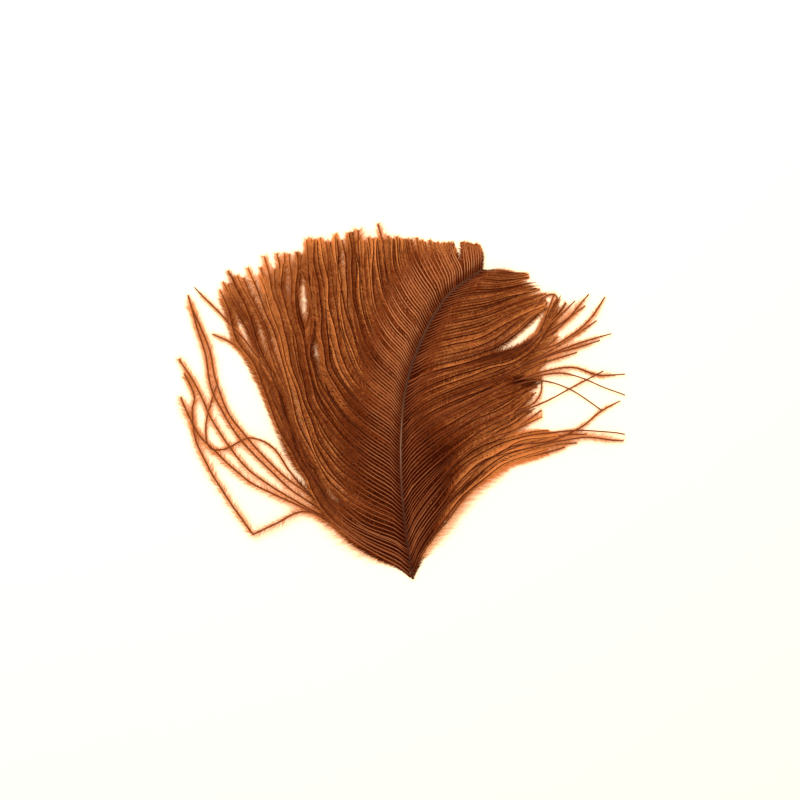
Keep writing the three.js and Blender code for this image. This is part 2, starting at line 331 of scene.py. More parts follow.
def herlTree():
    tree = bpy.data.node_groups.new("fringedHerl", "GeometryNodeTree")
    face = tree.interface
    face.new_socket("Geometry", in_out="INPUT", socket_type="NodeSocketGeometry")
    sockets = {}
    for name, kind in (("Barbule Spacing", "Float"), ("Barbule Depth", "Float"), ("Barbule Angle", "Float"),
                       ("Angle Spread", "Float"), ("Droop", "Float"), ("Droop Spread", "Float"),
                       ("Length Spread", "Float"), ("Sink", "Float"), ("Floor", "Float"),
                       ("Stem Sides", "Int"), ("Seed", "Int"),
                       ("Barbule Look", "Material"), ("Stem Look", "Material")):
        sockets[name] = face.new_socket(name, in_out="INPUT", socket_type="NodeSocket" + kind).identifier
    face.new_socket("Geometry", in_out="OUTPUT", socket_type="NodeSocketGeometry")
    given = addNode(tree, "NodeGroupInput").outputs

    def named(name):
        return addNode(tree, "GeometryNodeInputNamedAttribute", {"Name": name}, data_type="FLOAT").outputs[0]

    def store(geometry, name, value, domain):
        return addNode(tree, "GeometryNodeStoreNamedAttribute",
                       {"Geometry": geometry, "Name": name, "Value": value},
                       data_type="FLOAT", domain=domain).outputs[0]

    def chance(low, high, what, row):
        node = addNode(tree, "FunctionNodeRandomValue", {2: low, 3: high}, data_type="FLOAT")
        offset = float(barbuleSeeds[what] + row)
        tree.links.new(mathNode(tree, "ADD", given["Seed"], offset), node.inputs["Seed"])
        return node.outputs[1]

    def spread(middle, width, what, row):
        return mathNode(tree, "ADD", middle, mathNode(tree, "MULTIPLY", width, chance(-1.0, 1.0, what, row)))

    def downBy(depth):
        return addNode(tree, "ShaderNodeCombineXYZ", {2: mathNode(tree, "MULTIPLY", depth, -1.0)}).outputs[0]

    def place():
        here = addNode(tree, "GeometryNodeInputPosition").outputs[0]
        return addNode(tree, "ShaderNodeSeparateXYZ", {0: here}).outputs

    def covered(geometry, look):
        inputs = {"Geometry": geometry, "Material": given[look]}
        return addNode(tree, "GeometryNodeSetMaterial", inputs).outputs[0]

    def joined(*parts):
        node = addNode(tree, "GeometryNodeJoinGeometry")
        for part in parts:
            tree.links.new(part, node.inputs[0])
        return node.outputs[0]

    line = addNode(tree, "GeometryNodeMeshToCurve", {"Mesh": given["Geometry"]}).outputs[0]
    line = addNode(tree, "GeometryNodeSetCurveNormal", {"Curve": line}, mode="Z_UP").outputs[0]
    line = addNode(tree, "GeometryNodeSetCurveTilt", {"Curve": line, "Tilt": named("lean")}).outputs[0]

    ring = addNode(tree, "GeometryNodeCurvePrimitiveCircle",
                   {"Resolution": given["Stem Sides"], "Radius": 1.0}).outputs[0]
    stem = addNode(tree, "GeometryNodeCurveToMesh", {"Curve": line, "Profile Curve": ring,
                                                     "Scale": named("thick"), "Fill Caps": True}).outputs[0]
    stem = covered(stem, "Stem Look")

    # a barbule is a three-sided spike of unit size, scaled flat where it is placed
    spike = addNode(tree, "GeometryNodeMeshCone", {"Vertices": 3, "Side Segments": 1, "Radius Top": 0.0,
                                                   "Radius Bottom": 1.0, "Depth": 1.0}).outputs[0]
    spike = addNode(tree, "GeometryNodeSetShadeSmooth", {"Geometry": spike, "Shade Smooth": False}).outputs[0]
    spike = store(spike, "across", place()[2], "POINT")

    dots = addNode(tree, "GeometryNodeCurveToPoints", {"Curve": line, "Length": given["Barbule Spacing"]},
                   mode="LENGTH")
    roots = addNode(tree, "GeometryNodeSetPosition",
                    {"Geometry": dots.outputs["Points"], "Offset": downBy(given["Sink"])}).outputs[0]
    tangent, normal = dots.outputs["Tangent"], dots.outputs["Normal"]
    rows = []
    for row, sign in enumerate((1.0, -1.0)):
        angle = spread(given["Barbule Angle"], given["Angle Spread"], "angle", row)
        droop = spread(given["Droop"], given["Droop Spread"], "droop", row)
        outward = mathNode(tree, "MULTIPLY", mathNode(tree, "SINE", angle), sign)
        forward = vectorNode(tree, "SCALE", tangent, mathNode(tree, "COSINE", angle))
        heading = vectorNode(tree, "ADD", forward, vectorNode(tree, "SCALE", normal, outward))
        heading = vectorNode(tree, "ADD", heading, downBy(droop))
        turn = addNode(tree, "FunctionNodeAxesToRotation",
                       {"Primary Axis": heading, "Secondary Axis": tangent},
                       primary_axis="Z", secondary_axis="X").outputs[0]
        uneven = mathNode(tree, "ADD", 1.0, mathNode(tree, "MULTIPLY", named("skew"), sign))
        shorter = mathNode(tree, "MULTIPLY", given["Length Spread"], chance(0.0, 1.0, "length", row))
        reach = mathNode(tree, "MULTIPLY", mathNode(tree, "MULTIPLY", named("flue"), uneven),
                         mathNode(tree, "SUBTRACT", 1.0, shorter))
        size = addNode(tree, "ShaderNodeCombineXYZ",
                       {0: named("broad"), 1: given["Barbule Depth"], 2: reach}).outputs[0]
        placed = addNode(tree, "GeometryNodeInstanceOnPoints",
                         {"Points": roots, "Instance": spike, "Rotation": turn, "Scale": size}).outputs[0]
        placed = store(placed, "fleck", chance(0.0, 1.0, "fleck", row), "INSTANCE")
        # painted light: the lit row and the shaded row of barbules differ in colour
        placed = store(placed, "lit", mathNode(tree, "MULTIPLY", named("paintedSideLight"), -sign), "INSTANCE")
        rows.append(placed)
    fringe = addNode(tree, "GeometryNodeRealizeInstances", {"Geometry": joined(*rows)}).outputs[0]
    spot = place()
    height = mathNode(tree, "MAXIMUM", spot[2], given["Floor"])
    above = addNode(tree, "ShaderNodeCombineXYZ", {0: spot[0], 1: spot[1], 2: height}).outputs[0]
    fringe = addNode(tree, "GeometryNodeSetPosition", {"Geometry": fringe, "Position": above}).outputs[0]
    whole = joined(stem, covered(fringe, "Barbule Look"))
    addNode(tree, "NodeGroupOutput", {"Geometry": whole})
    return tree, sockets


fringedHerl, herlSockets = herlTree()

fringe = {
    "Barbule Spacing": 0.135 * mm,
    "Barbule Depth": 0.03 * mm,
    "Barbule Angle": math.radians(46),
    "Angle Spread": math.radians(14),
    "Droop": 0.30,
    "Droop Spread": 0.16,
    "Length Spread": 0.4,
    "Sink": 0.1 * mm,
    "Floor": 0.02 * mm,
    "Stem Sides": 5,
    "Seed": 7,
    "Barbule Look": materials["barbule"],
    "Stem Look": materials["ramus"],
}
looseFringe = {
    "Barbule Spacing": 0.115 * mm,
    "Barbule Angle": math.radians(42),
    "Angle Spread": math.radians(20),
    "Length Spread": 0.7,
    "Droop": 0.12,
}


def fringedPiece(name, herls, node, **changes):
    # herls: lists of drawn points with their own values at each point
    points = np.vstack([h["line"] for h in herls])
    edges, start = [], 0
    for h in herls:
        count = len(h["line"])
        edges += [(start + i, start + i + 1) for i in range(count - 1)]
        start += count
    lines = bpy.data.meshes.new(name + "_lines")
    lines.from_pydata(((points + shift) * mm).tolist(), edges, [])
    for key in ("flue", "skew", "broad", "thick", "lean", "dye", "stemDyeAndPaintedLight", "paintedSideLight"):
        layer = lines.attributes.new(key, "FLOAT", "POINT")
        layer.data.foreach_set("value", np.concatenate([h[key] for h in herls]).astype(np.float32))
    piece = bpy.data.objects.new(name, lines)
    bpy.context.collection.objects.link(piece)
    nodes = piece.modifiers.new("fringe", "NODES")
    nodes.node_group = fringedHerl
    for key, value in {**fringe, **changes}.items():
        nodes[herlSockets[key]] = value
    graph = bpy.context.evaluated_depsgraph_get()
    made = bpy.data.meshes.new_from_object(piece.evaluated_get(graph), preserve_all_data_layers=True,
                                           depsgraph=graph)
    piece.modifiers.clear()
    piece.data = made
    made.name = name
    bpy.data.meshes.remove(lines)
    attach(piece, "root")
    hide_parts(node)
    made.calc_loop_triangles()
    print(name, "herls:", len(herls), "triangles:", len(made.loop_triangles))


leftVane = {
    "side": -1,
    "node": "left_vane",
    "flow": [
        (0.02, [(-20.5, 13.8), (-34.2, 32), (-46.8, 60), (-59, 86.5)]),
        (0.12, [(-18.5, 19), (-31.5, 35.5), (-42, 64), (-54.5, 92.5)]),
        (0.17, [(-18, 25), (-30, 40), (-38.5, 65), (-48.5, 93)]),
        (0.22, [(-17, 31), (-28.5, 44.5), (-35, 65.5), (-41.5, 96.5)]),
        (0.32, [(-17, 41.5), (-27.5, 55.5), (-31.5, 73), (-32.5, 99)]),
        (0.44, [(-16, 53.5), (-23.5, 65), (-26, 82), (-28, 102.5)]),
        (0.55, [(-13, 65.5), (-17, 77), (-19, 89), (-20, 103)]),
        (0.66, [(-7.5, 74.5), (-11.5, 83), (-12.5, 92), (-13.5, 102)]),
        (0.76, [(-1.5, 82), (-5.5, 89), (-7, 95), (-7, 102.5)]),
        (0.84, [(4.5, 87.5), (1.5, 92), (-0.5, 96), (-1.5, 102)]),
        (0.9, [(11.5, 90), (10, 93.5), (8.5, 97), (7, 101)]),
        (0.94, [(15.5, 91.5), (14.3, 94.3), (13.3, 97.3), (12.6, 100.6)]),
        (0.95, [(16.6, 92), (15.8, 94.6), (15, 97.6), (14.4, 100.6)]),
        (1.0, [(21, 94.5), (20.9, 96.2), (20.6, 98), (20.2, 99.8)]),
    ],
    # fringe share, where the stem goes bare, way
    "loose": [
        (1.0, 1.0, [(-26, 17.8), (-29.5, 20), (-33, 20.4), (-36.5, 19.2), (-41.2, 16.5), (-46.5, 14),
                    (-48, 13.5), (-49, 15), (-53.5, 21.5), (-60.5, 32), (-65, 41.5), (-66, 50),
                    (-65.5, 55), (-68.5, 61.5)]),
        (1.0, 1.0, [(-28.5, 19.3), (-38.5, 24), (-49, 29.5), (-59.5, 38.5), (-65, 44.5), (-69.5, 54.5)]),
        (1.0, 1.0, [(-29.5, 20.5), (-43.5, 28.5), (-53, 37), (-60, 47.5), (-63.5, 55), (-70, 66)]),
        (1.0, 1.0, [(-29.5, 22), (-40, 30), (-52, 42.5), (-59.5, 55), (-62.5, 68), (-65.5, 78.5),
                    (-67.5, 85)]),
        (1.0, 1.0, [(-30.5, 25), (-42, 34), (-54, 48), (-59, 59.5), (-61.5, 70), (-66.5, 82)]),
        (0.8, 0.97, [(-34, 29), (-37.5, 33), (-42, 39.5), (-49, 42.5), (-56, 39), (-61, 39.5), (-62, 46),
                     (-59, 58)]),
        (0.9, 1.0, [(-38, 43), (-44, 55), (-48.5, 64.5), (-53.5, 70), (-60, 73.5)]),
        (0.8, 0.95, [(-41, 58), (-49, 70), (-54.5, 76), (-62, 84), (-65.5, 87.5)]),
        (1.5, 1.0, [(-16, 96), (-16.5, 100), (-16.5, 104.5)]),
        (1.2, 1.0, [(-8.5, 97), (-9, 101), (-10.5, 106.5)]),
    ],
    # places where the vane has parted: middle, heading in degrees, half length, push
    "partings": [
        ((-33.0, 83.7), 107, 7.5, 1.8),
        ((-36.9, 87.0), 110, 4.5, 1.0),
        ((-29.4, 68.7), 112, 4.0, 1.2),
        ((-33.4, 29.3), 130, 3.0, 1.5),
        ((-32.7, 22.0), 150, 3.0, 1.5),
        ((-24.2, 24.0), 151, 3.5, 0.6),
        ((-19.9, 18.7), 157, 4.0, 0.8),
        ((-50.3, 73.0), 103, 6.0, 1.5),
        ((-45.7, 72.8), 114, 3.5, 0.9),
        ((-43.2, 77.3), 104, 8.0, -1.0),        # drawn together here
        ((13.7, 99.5), 103, 4.5, 0.9),
    ],
    "open": [(0.948, 0.949)],       # the vane has split here, and no herl lies between
    "paintedShadows": [],                   # painted shadows in hollows: middle, heading, half length, half width, depth
    # the tables below start each entry with the share of the shaft; lengths are in mm
    "pitch": [(0.02, 1.35), (0.16, 1.32), (0.32, 1.14), (0.47, 0.98), (0.62, 0.86), (0.78, 0.86),
              (0.91, 0.75), (1, 0.72)],     # between roots along the shaft
    "parts": (0.19, 0.42),          # where the vane is parted into pieces
    "crown": 2.1,
    "cling": (0.1, 0.45),           # how closely a tuft draws together
    "clingBy": [(0.11, 1.4), (0.15, 0.6), (0.24, 0.6), (0.3, 1.0)],     # and how that differs along the shaft
    "stack": 0.38,                  # height between the herls of a tuft
    "tone": 0.06,                   # how far tufts differ
    # how ragged the tips are
    "trim": [(0.02, 4.2), (0.15, 3.6), (0.3, 2.2), (0.6, 1.0), (0.85, 0.6), (0.93, 0.25), (1, 0.2)],
    # how light the fringe is in the band of painted shade beside the shaft, and outside it
    "paintedShadeDye": [(0.15, -0.02), (0.42, 0.15), (0.7, 0.30)],
    "outerDye": [(0.02, 0.50), (0.09, 0.44), (0.16, 0.43), (0.42, 0.475), (0.7, 0.525)],
    # where that band ends, and over what length
    "shaded": [(0.02, 13, 16), (0.08, 13, 16), (0.14, 9, 17)],
    "far": (45, 30),                # from the shaft to where a herl gets lighter, and over what length
    "farDye": [(0, 0.11), (1, 0.11)],
    "tipGlow": 0.24,
    # painted glint: how light the stems are beside the shaft, where that ends, and over what length
    "stemRootGlint": [(0.02, 0.55), (0.1, 0.64), (0.16, 0.6), (0.42, 0.66), (0.7, 0.86)],
    "stemGlintEnds": [(0.02, 24, 14), (0.1, 20, 14), (0.2, 11, 14), (0.5, 8, 14), (1, 9, 16)],
    "stemOuter": 0.03,
    "paintedSideLight": 0.45,                  # painted light: how far the lit and the shaded side of a herl differ in colour
    "faint": 0.2,                   # share of herls whose stems hardly show
    "paintedSheen": 0.3,                   # painted sheen: golden stems in the upper part
    "edgeEnd": 28.0,                # how far out the loose fringe of the lowest herls goes
    "rootJoinShade": 0.35,                # painted shade: how light the last of a stem stays, where it meets the shaft
    "frayed": (0.5, 4.0),           # how far the fringe shortens at the tips, and over what length
    "seed": 11,
}
rightVane = {
    "side": 1,
    "node": "right_vane",
    "flow": [
        (0.02, [(5.2, 11.2), (15.6, 24), (27, 34.6), (41.5, 38.6)]),
        (0.12, [(6.5, 23.5), (16, 34), (28, 40.5), (42, 43)]),
        (0.16, [(5.7, 27), (15.3, 36.6), (27.5, 42.7), (41, 44.3)]),
        (0.166, [(5.6, 27.5), (15.2, 37), (26, 43.6), (38, 50)]),
        (0.23, [(5, 31.5), (14.5, 39.5), (25.2, 46), (34.3, 52.3)]),
        (0.28, [(5, 36.3), (14.8, 43.3), (25.8, 49.6), (37, 57)]),
        (0.33, [(5, 41), (15, 47), (25, 52.5), (37.5, 58.5)]),
        (0.44, [(5.5, 51), (17, 56), (29, 61.5), (40.5, 67)]),
        (0.54, [(7, 59), (20, 63.5), (34.5, 68.8), (45.6, 83.5)]),
        (0.6, [(8.5, 63), (20.5, 66.2), (35.5, 71.8), (42.6, 85)]),
        (0.616, [(9, 64.4), (20, 67.2), (30.4, 72.8), (39.6, 81.4)]),
        (0.65, [(10, 68), (20, 70.5), (30, 76), (40.5, 82)]),
        (0.75, [(13, 76.5), (21.5, 78.5), (30, 82), (39, 85)]),
        (0.84, [(16, 83.5), (23, 84.5), (29.5, 86), (37, 87.5)]),
        (0.93, [(20, 89.5), (25, 89), (30.5, 89.5), (35.5, 90.5)]),
        (1.0, [(24, 92.5), (27.5, 92.5), (30.5, 92), (33.5, 92)]),
    ],
    "loose": [
        (0.9, 1.0, [(26, 35), (33.5, 36.5), (45.5, 39.5)]),
        (1.0, 1.0, [(24, 34.5), (33, 38), (42, 40.3), (49, 41)]),
        (1.0, 1.0, [(27, 38), (36, 41.2), (45, 43.2), (52, 43.6)]),
        (0.8, 1.0, [(32, 38.5), (41, 41), (51.5, 42.5), (60.5, 41.5), (63, 41.5)]),
        (0.7, 1.0, [(30.5, 40), (41, 41.5), (50, 45.5), (56, 50), (62, 53.5)]),
        (0.6, 0.8, [(30.5, 42), (40.5, 44), (50, 44.5), (60.5, 44), (63.5, 43.5)]),
        (0.9, 1.0, [(24.5, 41.5), (32, 46), (38.5, 50.5)]),
        (0.45, 0.96, [(27.5, 48.5), (36.5, 52), (47, 57), (57, 62.5)]),
        (0.6, 1.0, [(28.5, 49.5), (35, 52), (38, 55.5), (38.5, 59.5)]),
        (0.45, 0.72, [(29, 57.5), (38, 59.5), (47, 57), (56.5, 50.5)]),
        (0.6, 0.74, [(30.5, 59.5), (41, 61.5), (48.5, 61), (57.5, 57.5), (63.5, 55)]),
        (0.75, 1.0, [(30.5, 59.5), (40.5, 62.5), (48.5, 63.5), (56, 61), (63.5, 61.5)]),
        (0.8, 1.0, [(32, 61.5), (41, 65.5), (49, 68)]),
        (0.8, 1.0, [(35, 64.5), (44, 68), (56, 71.5)]),
        (0.7, 1.0, [(35, 65), (44, 68.5), (51.5, 71.5), (59.5, 73.5)]),
        (0.8, 1.0, [(35, 65.5), (44, 70), (55, 77.5)]),
        (0.8, 1.0, [(35, 67.5), (44, 71), (52.5, 77.5), (57.5, 84.5)]),
        (0.9, 1.0, [(33.5, 68.5), (44, 75.5), (52.5, 85.5)]),
        (0.9, 1.0, [(33.5, 70), (43.5, 76), (51.5, 82)]),
        (0.9, 1.0, [(33, 70.2), (41.8, 77), (48.5, 83.5)]),
        (0.6, 1.0, [(29, 77), (35.5, 80.5), (39, 84.2), (42, 85.4), (43.2, 84.2), (41.8, 82.4)]),
    ],
    "partings": [
        ((26.5, 40.0), 24, 6.0, 1.0),
        ((37.5, 41.6), 6, 6.0, 0.9),
        ((21.5, 33.5), 41, 5.0, 0.9),
    ],
    "open": [(0.16, 0.166), (0.6, 0.616)],
    "paintedShadows": [((33.1, 59.1), -8, 6.0, 1.1, 0.8), ((26.0, 67.2), 10, 8.0, 1.4, 0.22)],
    "pitch": [(0.02, 1.35), (0.32, 1.36), (0.47, 1.24), (0.62, 1.16), (0.78, 1.18), (0.91, 1.3), (1, 1.3)],
    "parts": (0.27, 0.6),
    "crown": 2.0,
    "cling": (0.15, 0.6),
    "clingBy": [(0, 1), (1, 1)],
    "stack": 0.34,
    "tone": 0.04,
    "trim": [(0.02, 2.6), (0.17, 1.4), (0.35, 0.9), (0.5, 2.2), (0.62, 1.2), (0.85, 1.6), (1, 0.4)],
    "paintedShadeDye": [(0.15, -0.25), (0.42, 0.12), (0.7, 0.28)],
    "outerDye": [(0.02, 0.69), (0.07, 0.66), (0.16, 0.51), (0.3, 0.47), (0.5, 0.50), (0.75, 0.56), (1, 0.57)],
    "shaded": [(0.02, 7, 14), (0.1, 13, 18), (0.26, 13, 16), (0.35, 9, 14), (0.45, 3, 9), (1, 2, 7)],
    "far": (28, 22),
    "farDye": [(0.12, 0.4), (0.18, 0.0)],
    "tipGlow": 0.15,
    "stemRootGlint": [(0.02, 0.28), (0.1, 0.53), (0.42, 0.50), (0.7, 0.60)],
    "stemGlintEnds": [(0.1, 14, 14), (0.26, 10, 12), (0.42, 3, 9), (1, 2, 7)],
    "stemOuter": 0.03,
    "paintedSideLight": 0.22,
    "faint": 0.4,
    "paintedSheen": 0.0,
    "edgeEnd": 34.0,
    "rootJoinShade": 0.5,
    "frayed": (0.8, 7.0),
    "seed": 23,
}

# one herl: pairs named From or End say where a change starts and over what length, in mm unless noted
herl = {
    "pointEvery": 2.2,
    "loosePoints": 0.55,            # points lie this much closer on loose herls
    "fewestPoints": 12,
    "flue": 2.8,                    # length of a barbule
    "flueVaries": (0.85, 1.1),
    "farFlue": 0.2,                 # how much longer it is far out
    "rootFlue": 0.75,               # its share at the root
    "bareRoot": 8.0,                # and the length over which it grows to its full reach
    "lowest": (0.022, 0.05),        # the lowest herls narrow to the shaft's end: share, fading over
    "lowestFlue": 0.4,
    "lowestBare": 0.8,
    "frayVaries": (0.5, 1.3),
    "skewVaries": 0.12,             # one row of barbules is longer than the other
    "blade": (0.23, 0.12),          # half width of a barbule by the shaft and further out
    "edge": (0.02, 0.012),          # the lowest herls have a long loose fringe outwards: share, fading over
    "edgeFlue": 1.5,
    "edgeBlade": 0.05,
    "edgeSkew": 0.75,
    "edgeFrom": (0, 10),
    "edgeFades": 12.0,
    "splitReach": 0.012,            # beside a split, as a share of the shaft
    "splitFlue": 0.3,               # the fringe closes the root of a split
    "splitSkew": 0.5,               # and is short towards it further out
    "splitFrom": (22, 10),
    "stem": (0.15, 0.165, 0.09),    # radius at the root, half way and at the tip
    "rootBend": 0.013,              # barbs start lower on the shaft than their line suggests
    "bendEnd": (1.02, 0.1),         # less so towards the top: share of the shaft, over
    "lowestRoot": 0.004,
    "rootReach": 5.0,
    "aside": 0.05,                  # from the shaft's middle, as a share of its width
    "furtherAside": ((0, 0.4, 0.09), (0.45, 0.2, 0.13)),    # share, over, more
    "partingReach": 3.5,
    "waves": ((3.0, 6.0), (1.5, 2.6)),
    "shortWave": 0.4,
    "phase": 6.28,
    "wander": 0.4,
    "looseWander": 0.12,
    "wanderFrom": (8, 32),
    "rise": (0.35, 6.0),            # share of its length over which a herl rises, and the least in mm
    "tipHeight": 0.8,
    "lean": 9.0,                    # degrees
    "leanWave": (0.8, 7),
    "dyeWave": 0.05,
    "dyeWaves": (3, 8),
    "dyeVaries": 0.065,
    "dyeRange": (-0.3, 1),
    "rootPaintedShade": 0.32,               # painted shade: how much darker the fringe is deep beside the shaft
    "rootPaintedShadeEnd": (1.5, 4),
    "paleTip": 7.0,
    "stemVaries": 0.06,
    "faintStem": 0.3,
    "paintedSheenShare": (0.72, 0.1),      # middle and half width of the painted golden sheen along the shaft
    "paintedSheenPlace": (13, 6),          # and out from it
    "rootJoinShadeFrom": (0.6, 2.8),
    "paintedSideLightFades": 0.55,
    "paintedSideLightFrom": (38, 25),
    "softPaintedSideLight": 0.4,               # on loose and faint herls
}


def flowPath(vane, share):
    shares = [f[0] for f in vane["flow"]]
    ways = np.array([f[1] for f in vane["flow"]], float)
    way = np.stack([[np.interp(share, shares, ways[:, k, c]) for c in (0, 1)] for k in range(4)])
    return throughPoints(np.vstack([onShaft(share), way]))


def bentRoot(vane, line, share):
    # the root sits on the side of the shaft, a little lower, and the barb swings out from there
    hold = 1 - ramp(arcLengths(line), 0, herl["rootReach"])
    end, fade = herl["bendEnd"]
    lower = max(share - herl["rootBend"] * min(1.0, (end - share) / fade), herl["lowestRoot"])
    near = onShaft([lower, lower + 0.01])       # two points, for the heading
    aside = herl["aside"]
    for start, over, more in herl["furtherAside"]:
        aside += more * ramp(share, start, over)
    root = near[0] + rightOf(near)[0] * vane["side"] * swell(lower, shaft["width"]) * aside
    return line + hold[:, None] * (root - line[0])


def fromPlace(line, middle, degrees):
    # distances from a place, along a heading and to the right of it
    heading = np.array([math.cos(math.radians(degrees)), math.sin(math.radians(degrees))])
    right = np.array([heading[1], -heading[0]])
    away = line - np.array(middle)
    return away @ heading, away @ right, right


def parted(vane, line):
    for middle, heading, half, push in vane["partings"]:
        along, aside, right = fromPlace(line, middle, heading)
        side = 1.0 if aside[np.abs(along).argmin()] > 0 else -1.0
        pushed = side * push * np.exp(-np.abs(aside) / herl["partingReach"]) * hump(along, 0, half)
        line = line + right * pushed[:, None]
    return line


# painted shadows: how much darker each point is in the listed hollows
def paintedShadowAt(vane, line):
    dark = np.zeros(len(line))
    for middle, heading, half, wide, depth in vane["paintedShadows"]:
        along, aside = fromPlace(line, middle, heading)[:2]
        dark += depth * hump(along, 0, half) * hump(aside, 0, wide)
    return dark


def atShare(table, share):
    return float(np.interp(share, *zip(*table)))


def fading(table, share, s):
    shares, ends, fades = zip(*table)
    return 1 - ramp(s, np.interp(share, shares, ends), np.interp(share, shares, fades))


def bandOf(vane, share):
    return sum(share >= high for low, high in vane["open"])


def besideSplit(vane, share):
    short = 0.0
    for low, high in vane["open"]:
        away = low - share if share <= low else share - high
        short += math.copysign(math.exp(-away / herl["splitReach"]), low - share)
    return short


def fringedLine(vane, line, share, draw, tip, crown, loose=False):
    # rise, fringe and colour along one drawn line
    length = arcLengths(line)[-1]
    every = herl["pointEvery"] * (herl["loosePoints"] if loose else 1)
    t = np.linspace(0, 1, max(herl["fewestPoints"], int(length / every)))
    s = t * length
    flat = alongLine(line, s)
    phase = draw.uniform(0, herl["phase"])
    long, short = (s / draw.uniform(*w) for w in herl["waves"])
    wave = np.sin(long + phase) + herl["shortWave"] * np.sin(short + 2 * phase)
    wander = herl["looseWander"] if loose else herl["wander"]
    flat = flat + rightOf(flat) * (wander * wave * ramp(s, *herl["wanderFrom"]))[:, None]
    risen, least = herl["rise"]
    low = swell(share, shaft["height"])
    z = low + (crown - low) * ramp(s, 0, max(length * risen, least))
    z = z + (tip - crown) * ramp(t, risen, 1 - risen)

    split = besideSplit(vane, share)
    lowest = 1 - ramp(share, *herl["lowest"])
    start = herl["rootFlue"] - herl["lowestFlue"] * lowest + herl["splitFlue"] * abs(split)
    grown = start + (1 - start) * ramp(s, 0, herl["bareRoot"] * (1 + herl["lowestBare"] * lowest))
    depth, over = vane["frayed"]
    frayed = 1 - depth * draw.uniform(*herl["frayVaries"]) * ramp(s, length - over, over)
    shadow, paintedGlint = (fading(vane[key], share, s) for key in ("shaded", "stemGlintEnds"))
    edge = 0.0 if loose else 1 - ramp(share, *herl["edge"])
    edge = edge * ramp(s, *herl["edgeFrom"]) * (1 - ramp(s, vane["edgeEnd"], herl["edgeFades"]))
    far = ramp(s, *vane["far"])
    flue = herl["flue"] * grown * (1 + (herl["edgeFlue"] - 1) * edge) * frayed * (1 + herl["farFlue"] * far)
    split = 0.0 if loose else herl["splitSkew"] * split * ramp(s, *herl["splitFrom"])
    close, apart = herl["blade"]
    blade = close * shadow + apart * (1 - shadow)

    # painted shadows: patches darkened where locks overhang
    paintedShadow = paintedShadowAt(vane, flat)
    # painted shade: the fringe is darker in the band beside the shaft
    dye = atShare(vane["outerDye"], share) * (1 - shadow) + atShare(vane["paintedShadeDye"], share) * shadow
    dye = dye + herl["dyeWave"] * np.sin(s / draw.uniform(*herl["dyeWaves"]) + phase) * (1 - shadow)
    # painted shade: darker still deep beside the shaft
    dye = dye - herl["rootPaintedShade"] * (1 - ramp(s, *herl["rootPaintedShadeEnd"]))
    # painted glow: the loose edge fringe of the lowest herls is lighter
    dye = dye + (1.0 - dye) * edge + atShare(vane["farDye"], share) * far
    # painted glow: herls lighter towards their tips
    dye = dye + vane["tipGlow"] * ramp(s, length - herl["paleTip"], herl["paleTip"]) - paintedShadow
    # painted glint: stems lighter beside the shaft
    stemDyeAndPaintedLight = vane["stemOuter"] * (1 - paintedGlint) + atShare(vane["stemRootGlint"], share) * paintedGlint
    # painted sheen: golden stems in the upper part
    stemDyeAndPaintedLight = stemDyeAndPaintedLight + vane["paintedSheen"] * hump(share, *herl["paintedSheenShare"]) * hump(s, *herl["paintedSheenPlace"])
    # painted shade: stems darker where they meet the shaft
    stemDyeAndPaintedLight = stemDyeAndPaintedLight * (vane["rootJoinShade"] + (1 - vane["rootJoinShade"]) * ramp(s, *herl["rootJoinShadeFrom"]))
    faint = draw.random() < vane["faint"]
    if faint:
        stemDyeAndPaintedLight = stemDyeAndPaintedLight + (herl["faintStem"] - stemDyeAndPaintedLight) * (1 - paintedGlint)
    # painted light: a lit and a shaded side of the herl, fading outwards
    paintedSideLight = vane["paintedSideLight"] * (1 - shadow) * (1 - herl["paintedSideLightFades"] * ramp(s, *herl["paintedSideLightFrom"]))
    sway, turns = herl["leanWave"]
    uneven = herl["skewVaries"]
    return {
        "line": np.column_stack([flat, z]),
        "flue": mm * flue * draw.uniform(*herl["flueVaries"]),
        "skew": vane["side"] * (herl["edgeSkew"] * edge + split) + draw.uniform(-uneven, uneven),
        "broad": mm * (blade * (1 - edge) + herl["edgeBlade"] * edge),
        "thick": mm * np.interp(t, [0, 0.5, 1], herl["stem"]),
        "lean": math.radians(herl["lean"]) * (draw.gauss(0, 1) + sway * np.sin(t * turns + phase)),
        "paintedSideLight": paintedSideLight * (herl["softPaintedSideLight"] if loose or faint else 1.0),
        "dye": np.clip(dye + draw.gauss(0, herl["dyeVaries"]), *herl["dyeRange"]),
        "stemDyeAndPaintedLight": np.clip(stemDyeAndPaintedLight + draw.gauss(0, herl["stemVaries"]), 0, 1),
        "share": share,
        "paintedShadow": paintedShadow,
    }


# tufts: a few neighbours in the vane that cling together towards their tips
tuft = {
    "herls": (1, 2, 2, 3),
    "lastShare": 0.998,
    "pitchVaries": (0.94, 1.06),
    "clingFrom": (14, 30),          # short herls hardly cling or lift: length, over
    "liftFrom": (14, 20),
    "lift": (-0.2, 0.25),
    "sunk": 0.2,
    "lowestTip": -0.1,
    "trim": (-0.7, 0.6),            # how ragged the tufts are
    "ownTrim": (-1.2, 0.5),         # and their single herls
    "holdFrom": (16, 26),           # from the shaft to where a tuft draws together, over
    "loosens": 0.45,                # and how far it opens again towards its tips
    "loosensFrom": (0.75, 0.25),    # as shares of its length
    "astray": 0.4,                  # share of herls that cross their neighbours
    "straysBy": 2.4,
    "straysFull": 80.0,             # shorter herls stray less
    "straysFrom": (0.4, 0.6),       # as shares of its length
}


